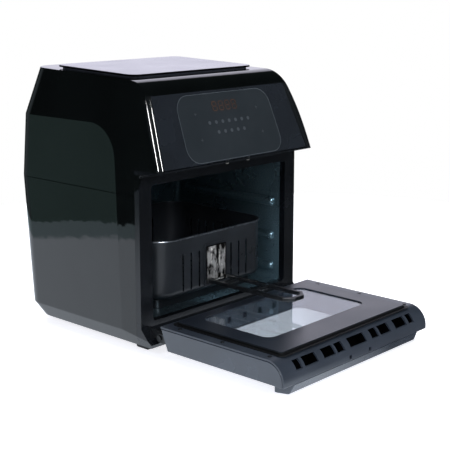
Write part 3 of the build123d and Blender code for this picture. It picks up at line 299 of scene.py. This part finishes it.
# the same plate hammered: black and white flecks painted into its colour, painted reflections of what
# the dents mirror
hammeredChromeReflections = hammeredPlate("Hammered chrome painted reflections", "#181512", "#f2efe9", (0.1, 0.3), 9, 0.6)
# pressed aluminium: pale, with lines along Z
fanAlloy = metal("Fan aluminium", "#b4b7ba", "#cacccf", (0.25, 0.4), 1.5, 0.1, (6, 6, 1))

# Motor, boards and glass

# stove enamel on the motor: dark grey, matt
motorPaint = plastic("Motor lacquer", "#2a2b2d", "#36373a", (0.4, 0.5), 1.0, 0.1)
# pressed glass-fibre laminate under solder mask: dull green
boardLaminate = plastic("Board laminate", "#14381f", "#1c4a2a", (0.35, 0.45), 1.0, 0.1)
# moulded epoxy: black, matt
componentCase = plastic("Component case", "#121315", "#1d1f22", (0.4, 0.5), 1.0, 0.1)
# toughened float glass: clear, with smears that only soften its reflections
temperedGlass = clearGlass("Tempered glass")

nodeFinish = {
    "lower_shell": glossAbs, "upper_shell": glossAbs, "base_pan": baseAbs, "rubber_feet": footRubber,
    "front_frame": frameAbs, "cord_gland": baseAbs, "rear_vent": baseAbs, "roof_plate": roofPaintedReflection,
    "control_panel": panelAbs, "touch_screen": screenFilm, "display_board": boardLaminate,
    "display_module": componentCase, "interlock_switch": componentCase, "catch_keeper": catchNylon,
    "cavity_liner": linerSteel, "fan_housing": brushedSteel, "heating_element": elementSteel,
    "element_clips": brushedSteel, "heater_guard": chromePlate, "motor_housing": motorPaint,
    "motor_bracket": brushedSteel, "board_tray": brushedSteel, "power_board": boardLaminate,
    "board_components": componentCase, "thermostat": brushedSteel, "hinge_brackets": handleNylon,
    "hinge_pins": handleNylon, "base_screws": brushedSteel, "motor_shaft": brushedSteel,
    "convection_fan": fanAlloy, "cooling_fan": fanAlloy, "fan_nut": brushedSteel,
    "motor_rotor": motorPaint, "door_outer_shell": doorSkinAbs, "door_inner_frame": doorFrameAbs,
    "door_liner": plugCoat, "door_gasket": gasketRubber, "inner_glass": temperedGlass,
    "outer_glass": temperedGlass, "door_duct": ductSteel, "door_handle": doorSkinAbs,
    "handle_screws": brushedSteel, "frame_screws": handleNylon, "hinge_leaves": handleNylon,
    "basket": basketCoat, "handle_bracket": hammeredChromeReflections, "bracket_rivets": chromePlate,
    "handle_pin": chromePlate, "basket_handle": handleNylon, "drip_tray": trayCoat,
    "door_catch": catchNylon, "interlock_plunger": catchNylon,
}
for name, finish in nodeFinish.items():
    for place in nodes[name].material_slots:
        place.material = finish
print("materials done")

# Rounded copies of the panel, the door's mouldings and the feet: edge in mm, angle in degrees

roundedNodes = {
    "control_panel": {"width": 0.4, "angle": 40, "body": "cabinet"},
    "door_inner_frame": {"width": 0.7, "angle": 30, "body": "door"},
    "door_outer_shell": {"width": 0.7, "angle": 30, "body": "door"},
    "door_liner": {"width": 0.8, "angle": 30, "body": "door"},
    "door_handle": {"width": 1.0, "angle": 25, "body": "door"},
    "rubber_feet": {"width": 1.5, "angle": 30, "body": "cabinet"},
}
rounding = {"merge": 0.02, "flatWithin": 0.5, "segments": 3, "smooth": 40}


def roundedCopy(node, width, angle, body):
    piece = nodes[node].copy()
    piece.data = nodes[node].data.copy()
    piece.name = node + "Rounded"
    bpy.context.scene.collection.objects.link(piece)
    pickOnly(piece)
    bpy.ops.mesh.customdata_custom_splitnormals_clear()
    bpy.ops.object.mode_set(mode="EDIT")
    bpy.ops.mesh.select_all(action="SELECT")
    bpy.ops.mesh.remove_doubles(threshold=rounding["merge"] * mm)
    bpy.ops.mesh.dissolve_limited(angle_limit=math.radians(rounding["flatWithin"]))
    closeEdit()
    applyModifier(piece, "BEVEL", width=width * mm, limit_method="ANGLE",
                  angle_limit=math.radians(angle), segments=rounding["segments"],
                  use_clamp_overlap=True, miter_outer="MITER_ARC", harden_normals=False)
    smoothByAngle(piece, rounding["smooth"])
    applyModifier(piece, "WEIGHTED_NORMAL", mode="FACE_AREA", weight=100, keep_sharp=False)
    return finishPiece(piece, body, nodeFinish[node], (node,))


for name, look in roundedNodes.items():
    shown = roundedCopy(name, **look)
    print("rounded", name, len(shown.data.polygons))

# Display and key marks. A place on the panel's face is across it and up its slope, in mm

panel = {"tipY": -47.0, "tipZ": 249.5, "lean": 21.5}      # the face's lower edge, its lean in degrees
marks = {"proud": 0.06, "thick": 0.12}
digit = {"count": 4, "left": -25.0, "low": 74.0, "wide": 8.0, "high": 12.5, "step": 13.0, "stroke": 1.5}
key = {"rows": ((44.0, 5), (58.0, 7)), "step": 13.0,      # level of a row, number of its keys
       "radius": 2.6, "stroke": 0.5, "sides": 20, "long": 2.2, "short": 0.6}
plus = {"across": 62.0, "levels": (36.0, 72.0), "long": 4.5, "short": 0.7}


def panelFace():
    lean = math.radians(panel["lean"])
    across = Vector((1, 0, 0))
    up = Vector((0, math.sin(lean), math.cos(lean)))
    out = Vector((0, -math.cos(lean), math.sin(lean)))
    face = Matrix.Identity(4)
    for row in range(3):
        face[row][0] = across[row]
        face[row][1] = up[row]
        face[row][2] = out[row]
    face.translation = Vector((0, panel["tipY"] * mm, panel["tipZ"] * mm))
    return face


panelPlace = panelFace()


def placeOnPanel(piece, x, level, out, turn=Matrix.Identity(4)):
    piece.matrix_world = panelPlace @ Matrix.Translation((x * mm, level * mm, out * mm)) @ turn
    applyPlace(piece)
    return piece


def panelBar(x, level, wide, high):
    return placeOnPanel(addBlock(wide, high, marks["thick"]), x, level, marks["proud"])


def panelRing(x, level):
    deselectAll()
    bpy.ops.mesh.primitive_cylinder_add(vertices=key["sides"], radius=key["radius"] * mm,
                                        depth=marks["thick"] * mm)
    ring = bpy.context.object
    openEdit("FACE", "SELECT")
    bpy.ops.mesh.inset(thickness=key["stroke"] * mm, depth=0)
    closeEdit()
    return placeOnPanel(ring, x, level, marks["proud"])


def digitBars(left):
    wide, high, stroke, low = digit["wide"], digit["high"], digit["stroke"], digit["low"]
    bars = [panelBar(left + wide / 2, low + level * high / 2, wide - stroke, stroke)
            for level in (0, 1, 2)]
    for side in (0, 1):
        for half in (0, 1):
            bars.append(panelBar(left + side * wide, low + high / 4 + half * high / 2,
                                 stroke, high / 2 - stroke))
    return bars


def displayDigits():
    bars = []
    for place in range(digit["count"]):
        bars += digitBars(digit["left"] + place * digit["step"])
    finishPiece(joinAll(bars, "displayDigits"), "cabinet", screenGlow)


def keyMarks():
    icons = []
    for row, (level, count) in enumerate(key["rows"]):
        for place in range(count):
            x = (place - count // 2) * key["step"]
            bar = (key["long"], key["short"]) if (place + row) % 2 else (key["short"], key["long"])
            icons += [panelRing(x, level), panelBar(x, level, *bar)]
    for side in (-1, 1):
        for level in plus["levels"]:
            x = side * plus["across"]
            icons += [panelBar(x, level, plus["long"], plus["short"]),
                      panelBar(x, level, plus["short"], plus["long"])]
    finishPiece(joinAll(icons, "keyMarks"), "cabinet", iconPrint)


displayDigits()
keyMarks()
print("display done")

# Keyline round the touch screen, narrower at its top

keyline = {"lowHalf": 97.3, "highHalf": 92.5, "low": 4.8, "high": 99.3, "corner": 23.0,
           "stroke": 0.7, "thick": 0.15}
keylineProud = 0.02      # how far its underside stands off the face


def selectWhere(piece, keep):
    for vertex in piece.data.vertices:
        vertex.select = keep(vertex.co)
    for edge in piece.data.edges:
        edge.select = all(piece.data.vertices[i].select for i in edge.vertices)


def roundedOutline(lowHalf, highHalf, low, high, corner, stroke, thick):
    deselectAll()
    bpy.ops.mesh.primitive_plane_add(size=1, location=(0, 0, 0))
    ring = bpy.context.object
    ring.scale = (2 * lowHalf * mm, (high - low) * mm, 1)
    applyPlace(ring)
    openEdit("VERT", "DESELECT")
    closeEdit()
    selectWhere(ring, lambda place: place.y > 0)
    bpy.ops.object.mode_set(mode="EDIT")
    bpy.ops.transform.resize(value=(highHalf / lowHalf, 1, 1))
    bpy.ops.mesh.select_all(action="SELECT")
    bpy.ops.mesh.bevel(offset=corner * mm, segments=12, affect="VERTICES")
    bpy.ops.mesh.select_all(action="SELECT")
    bpy.ops.mesh.select_mode(type="FACE")
    bpy.ops.mesh.select_all(action="SELECT")
    bpy.ops.mesh.inset(thickness=stroke * mm, depth=0)
    bpy.ops.mesh.delete(type="FACE")      # the inset leaves the middle face selected
    closeEdit()
    applyModifier(ring, "SOLIDIFY", thickness=thick * mm, offset=1)
    return ring


def evenOutline(name, half, deep, corner, stroke, thick):
    ring = roundedOutline(half, half, -deep / 2, deep / 2, corner, stroke, thick)
    ring.name = name
    return ring


border = roundedOutline(**keyline)
border.name = "screenKeyline"
placeOnPanel(border, 0, (keyline["low"] + keyline["high"]) / 2, keylineProud)
finishPiece(border, "cabinet", keylinePrint)

# Polished beads down both sides of the control panel

trim = {"middle": 51.0, "length": 98.0, "taper": 0.13, "thick": 5.0,
        "proud": {-1: 1.2, 1: 0.3},      # the right pair stands lower
        "beads": ((148.0, 3.8, 1.8), (155.3, 4.4, 2.1)),      # across the panel, width, edge radius
        "segments": 6, "smooth": 50}


def panelBead(side, across, wide, edge):
    bead = addBlock(wide, trim["length"], trim["thick"])
    applyModifier(bead, "BEVEL", width=edge * mm, segments=trim["segments"], limit_method="ANGLE")
    slant = Matrix.Rotation(side * math.atan(trim["taper"]), 4, "Z")
    x = side * (across - trim["taper"] * trim["middle"])
    return placeOnPanel(bead, x, trim["middle"], trim["proud"][side] - trim["thick"] / 2, slant)


def panelTrim(side, name):
    piece = joinAll([panelBead(side, *bead) for bead in trim["beads"]], name)
    smoothByAngle(piece, trim["smooth"])
    finishPiece(piece, "cabinet", beadGloss)


panelTrim(-1, "panelTrimLeft")
panelTrim(1, "panelTrimRight")
print("panel trim done")

# Rolled rim round the top of the basket

rim = {"half": 115.4, "front": -0.4, "back": 204.4, "corner": 34.4, "top": 143.2, "wide": 2.6,
       "high": 2.4, "edge": 0.9, "edgeAngle": 50, "smooth": 60}


def basketRim():
    deep = rim["back"] - rim["front"]
    ring = evenOutline("basketRim", rim["half"], deep, rim["corner"], rim["wide"], rim["high"])
    applyModifier(ring, "BEVEL", width=rim["edge"] * mm, segments=3, limit_method="ANGLE",
                  angle_limit=math.radians(rim["edgeAngle"]))
    ring.location = (0, (rim["front"] + deep / 2) * mm, (rim["top"] - rim["high"]) * mm)
    applyPlace(ring)
    smoothByAngle(ring, rim["smooth"])
    finishPiece(ring, "food_basket", rimPaintedHighlight)


basketRim()
print("basket rim done")

# Painted shadow: a dark ring round the hammered face of the handle bracket, for the shadow in the gap
# round it

bracket = {"half": 20.6, "low": 67.5, "high": 123.0, "front": -0.45, "corner": 2.0, "wide": 1.3,
           "thick": 0.5}


def bracketOutline():
    ring = evenOutline("bracketOutline", bracket["half"], bracket["high"] - bracket["low"],
                       bracket["corner"], bracket["wide"], bracket["thick"])
    ring.rotation_euler = (math.radians(90), 0, 0)
    ring.location = (0, bracket["front"] * mm, (bracket["low"] + bracket["high"]) / 2 * mm)
    applyPlace(ring)
    finishPiece(ring, "food_basket", paintedShade)


bracketOutline()
print("bracket done")

# Soft lip of the door's gasket

lip = {"half": 140.6, "root": -49.4, "end": -240.6, "corner": 9.0, "wide": 5.4, "thick": 0.9,
       "face": 46.5}


def gasketLip():
    ring = evenOutline("gasketLip", lip["half"], lip["root"] - lip["end"], lip["corner"],
                       lip["wide"], lip["thick"])
    ring.location = (0, (lip["root"] + lip["end"]) / 2 * mm, lip["face"] * mm)
    applyPlace(ring)
    finishPiece(ring, "door", gasketRubber)


gasketLip()

# Painted shadow: a dark skirt under the roof plate's edge, laid on the roof's slope, for the shadow in
# the gap beneath the plate

skirt = {"half": 122.15, "front": 36.0, "deep": 164.1, "beyond": 0.15, "level": 364.83,
         "slope": 0.0366, "corner": 16.1, "wide": 2.0, "low": 2.45, "high": 4.5}


def plateSkirt():
    ring = evenOutline("plateSkirt", skirt["half"], skirt["deep"] + 2 * skirt["beyond"],
                       skirt["corner"], skirt["wide"], skirt["high"] - skirt["low"])
    base = Matrix.Translation((0, skirt["front"] * mm, skirt["level"] * mm))
    tilt = Matrix.Rotation(math.atan(skirt["slope"]), 4, "X")
    middle = Matrix.Translation((0, skirt["deep"] / 2 * mm, skirt["low"] * mm))
    ring.matrix_world = base @ tilt @ middle
    applyPlace(ring)
    finishPiece(ring, "cabinet", paintedShade)


plateSkirt()
print("gasket lip and plate skirt done")

# Painted shade: a dark box behind the door's vents, open towards them, for the shade inside the door

ventShadeSize = {"half": 133.0, "front": 236.0, "deep": 9.0, "low": 17.8, "high": 43.4, "wall": 0.8}


def ventBaffle():
    middle = (0, ventShadeSize["deep"] / 2 - ventShadeSize["front"], (ventShadeSize["low"] + ventShadeSize["high"]) / 2)
    tray = addBlock(2 * ventShadeSize["half"], ventShadeSize["deep"], ventShadeSize["high"] - ventShadeSize["low"], middle)
    tray.name = "ventBaffle"
    openEdit("FACE", "DESELECT")
    closeEdit()
    for face in tray.data.polygons:
        face.select = face.normal.y < -0.9
    bpy.ops.object.mode_set(mode="EDIT")
    bpy.ops.mesh.inset(thickness=ventShadeSize["wall"] * mm, depth=0)
    bpy.ops.mesh.extrude_region_move(TRANSFORM_OT_translate={
        "value": (0, (ventShadeSize["deep"] - ventShadeSize["wall"]) * mm, 0)})
    closeEdit()
    finishPiece(tray, "door", paintedShade)


ventBaffle()
print("baffle done")

# Floor: white to the camera and as a light, greyer in reflections, most so at its rim

paper = {"radius": 0.98, "centre": (0.05, 0.0, -0.0002), "inner": 0.82, "blend": 0.03,
         "colours": ("#f4f4f6", "#fafafb"), "fibreMm": 3, "roughness": 0.9,
         "glow": 0.85, "glowColour": "#f4f4f8", "mirrored": ("#ccd4de", "#8d9ea4"),
         "mirrorGlow": 1.8, "dimGlow": 0.15, "dimSide": (0.74, -0.67, 0.0), "dimFrom": 0.08,
         "dimTo": 0.2}


def makeFloor():
    deselectAll()
    bpy.ops.mesh.primitive_circle_add(vertices=96, radius=paper["radius"], fill_type="NGON",
                                      location=paper["centre"])
    floor = bpy.context.object
    floor.name = "studioFloor"
    material, tree, coords = startMaterial("White paper")
    fibres = noiseAt(tree, coords, paper["fibreMm"])
    mirror = addNode(tree, "ShaderNodeLightPath").outputs["Is Glossy Ray"]
    sheet = addNode(tree, "ShaderNodeBsdfPrincipled", {
        "Base Color": blendColour(tree, fibres, *paper["colours"]), "Roughness": paper["roughness"],
        "Emission Color": linear(paper["glowColour"]), "Emission Strength": paper["glow"]})
    reach = addNode(tree, "ShaderNodeVectorMath", {0: coords}, operation="LENGTH").outputs["Value"]
    band = addNode(tree, "ShaderNodeMapRange", {
        "Value": reach, "From Min": paper["inner"], "From Max": paper["inner"] + paper["blend"]})
    tint = addNode(tree, "ShaderNodeMix", {"Factor": band.outputs["Result"]}, data_type="RGBA")
    for socket, colour in zip(("A", "B"), paper["mirrored"]):
        tint.inputs[socket].default_value = linear(colour)
    side = addNode(tree, "ShaderNodeVectorMath", {0: coords, 1: paper["dimSide"]},
                   operation="DOT_PRODUCT").outputs["Value"]
    glow = addNode(tree, "ShaderNodeMapRange", {
        "Value": side, "From Min": paper["dimFrom"], "From Max": paper["dimTo"],
        "To Min": paper["mirrorGlow"], "To Max": paper["dimGlow"]})
    mirrored = addNode(tree, "ShaderNodeEmission", {
        "Color": tint.outputs["Result"], "Strength": glow.outputs["Result"]})
    mixed = addNode(tree, "ShaderNodeMixShader", {"Fac": mirror})
    tree.links.new(sheet.outputs["BSDF"], mixed.inputs[1])
    tree.links.new(mirrored.outputs["Emission"], mixed.inputs[2])
    addNode(tree, "ShaderNodeOutputMaterial", {"Surface": mixed.outputs["Shader"]})
    floor.data.materials.append(material)


# Room: white to the camera, dim grey with a few soft lobes in reflections.
# Each lobe has a direction, the cosines where it starts and is full, a colour and a strength

room = {"colour": "#3a4244", "strength": 0.35,
        "lobes": (((0.72, 0.65, 0.22), 0.91, 0.96, "#e4e2f2", 1.4),      # backdrop behind the object
                  ((-0.63, 0.75, -0.21), 0.986, 0.994, "#74908c", 0.75),      # wall to the left
                  ((-0.3, 0.95, 0.05), 0.93, 0.97, "#8a969c", 0.6),      # wall behind
                  ((0.72, -0.63, 0.29), 0.9, 0.985, "#767e86", 0.7))}      # window to the right


def background(tree, colour, strength):
    sky = addNode(tree, "ShaderNodeBackground", {"Color": colour, "Strength": strength})
    return sky.outputs["Background"]


def roomLobe(tree, direction, towards, start, full, colour, strength):
    facing = addNode(tree, "ShaderNodeVectorMath", {0: direction, 1: Vector(towards).normalized()},
                     operation="DOT_PRODUCT").outputs["Value"]
    fall = addNode(tree, "ShaderNodeMapRange", {
        "Value": facing, "From Min": start, "From Max": full}, interpolation_type="SMOOTHSTEP")
    amount = addNode(tree, "ShaderNodeMath", {0: fall.outputs["Result"], 1: strength},
                     operation="MULTIPLY").outputs["Value"]
    return background(tree, linear(colour), amount)


def makeWorld():
    world = bpy.data.worlds.new("Studio")
    bpy.context.scene.world = world
    world.use_nodes = True
    tree = world.node_tree
    tree.nodes.clear()
    seen = addNode(tree, "ShaderNodeLightPath").outputs["Is Camera Ray"]
    direction = addNode(tree, "ShaderNodeTexCoord").outputs["Generated"]
    total = background(tree, linear(room["colour"]), room["strength"])
    for lobe in room["lobes"]:
        glow = roomLobe(tree, direction, *lobe)
        added = addNode(tree, "ShaderNodeAddShader")
        tree.links.new(total, added.inputs[0])
        tree.links.new(glow, added.inputs[1])
        total = added.outputs["Shader"]
    white = background(tree, (1, 1, 1, 1), 1.0)
    mixed = addNode(tree, "ShaderNodeMixShader", {"Fac": seen})
    tree.links.new(total, mixed.inputs[1])
    tree.links.new(white, mixed.inputs[2])
    addNode(tree, "ShaderNodeOutputWorld", {"Surface": mixed.outputs["Shader"]})


# Soft boxes: size in metres, power in watts. The mirrored ones light only what is glossy

edgePlace = {"place": (-1.0, -1.72, 1.42), "target": (-0.15, -0.03, 0.3), "size": (0.6, 1.0),
             "mirrored": True}
lamps = {
    "overheadBox": {"place": (0.4, 0.6, 1.6), "target": (0, 0, 0.2), "size": (2.0, 1.4),
                    "power": 26},
    "frontBox": {"place": (-0.4, -2.0, 1.3), "target": (0, -0.1, 0.15), "size": (1.4, 1.0),
                 "power": 14, "colour": "#f0f4ff"},
    "leftBox": {"place": (-1.9, -0.4, 1.2), "target": (0, 0, 0.2), "size": (0.9, 0.9),
                "power": 12, "colour": "#eaf0ff"},
    # bright line on the beads and on the basket's rim
    "edgeBox": {**edgePlace, "power": 300, "only": ("panelTrimLeft", "panelTrimRight", "basketRim")},
    # what the worktop throws back on the oven's wall
    "cavityBox": {"place": (0.03, -0.055, 0.08), "target": (0.12, 0.04, 0.06), "size": (0.2, 0.03),
                  "power": 0.16, "colour": "#d6ecff", "only": ("cavity_liner",)},
    # the same place as the edge box, for every piece
    "glintBox": {**edgePlace, "power": 60, "colour": "#eef4ff"},
}


def lightOnly(lamp, names):
    lit = bpy.data.collections.new(lamp.name + "Targets")
    for name in names:
        lit.objects.link(nodes[name] if name in nodes else bpy.data.objects[name])
    lamp.light_linking.receiver_collection = lit


def softBox(name, place, target, size, power, colour="#ffffff", mirrored=False, only=()):
    data = bpy.data.lights.new(name, "AREA")
    data.shape = "RECTANGLE"
    data.size, data.size_y = size
    data.energy = power
    data.color = linear(colour)[:3]
    lamp = bpy.data.objects.new(name, data)
    lamp.location = place
    lamp.visible_camera = False
    lamp.visible_glossy = mirrored
    lamp.visible_diffuse = not mirrored
    lamp.rotation_euler = (Vector(target) - Vector(place)).to_track_quat("-Z", "Y").to_euler()
    bpy.context.scene.collection.objects.link(lamp)
    if only:
        lightOnly(lamp, only)


makeFloor()
makeWorld()
for name, lamp in lamps.items():
    softBox(name, **lamp)

# Camera, in front of the object's left side and a little above it

view = {"place": (-1.0801, -1.0129, 0.4876), "forward": (0.7171, 0.6608, -0.2217),
        "roll": -0.07, "lens": 84.89, "sensor": 36, "farEnd": 50}


def makeCamera():
    data = bpy.data.cameras.new("photoCamera")
    data.lens = view["lens"]
    data.sensor_width = view["sensor"]
    data.clip_end = view["farEnd"]
    camera = bpy.data.objects.new("photoCamera", data)
    camera.location = view["place"]
    aim = Vector(view["forward"]).to_track_quat("-Z", "Y").to_matrix().to_4x4()
    roll = Matrix.Rotation(math.radians(view["roll"]), 4, "Z")
    camera.rotation_euler = (aim @ roll).to_euler()
    bpy.context.scene.collection.objects.link(camera)
    bpy.context.scene.camera = camera
    bpy.context.scene.view_settings.view_transform = "Standard"


makeCamera()
print("stage done")

deselectAll()
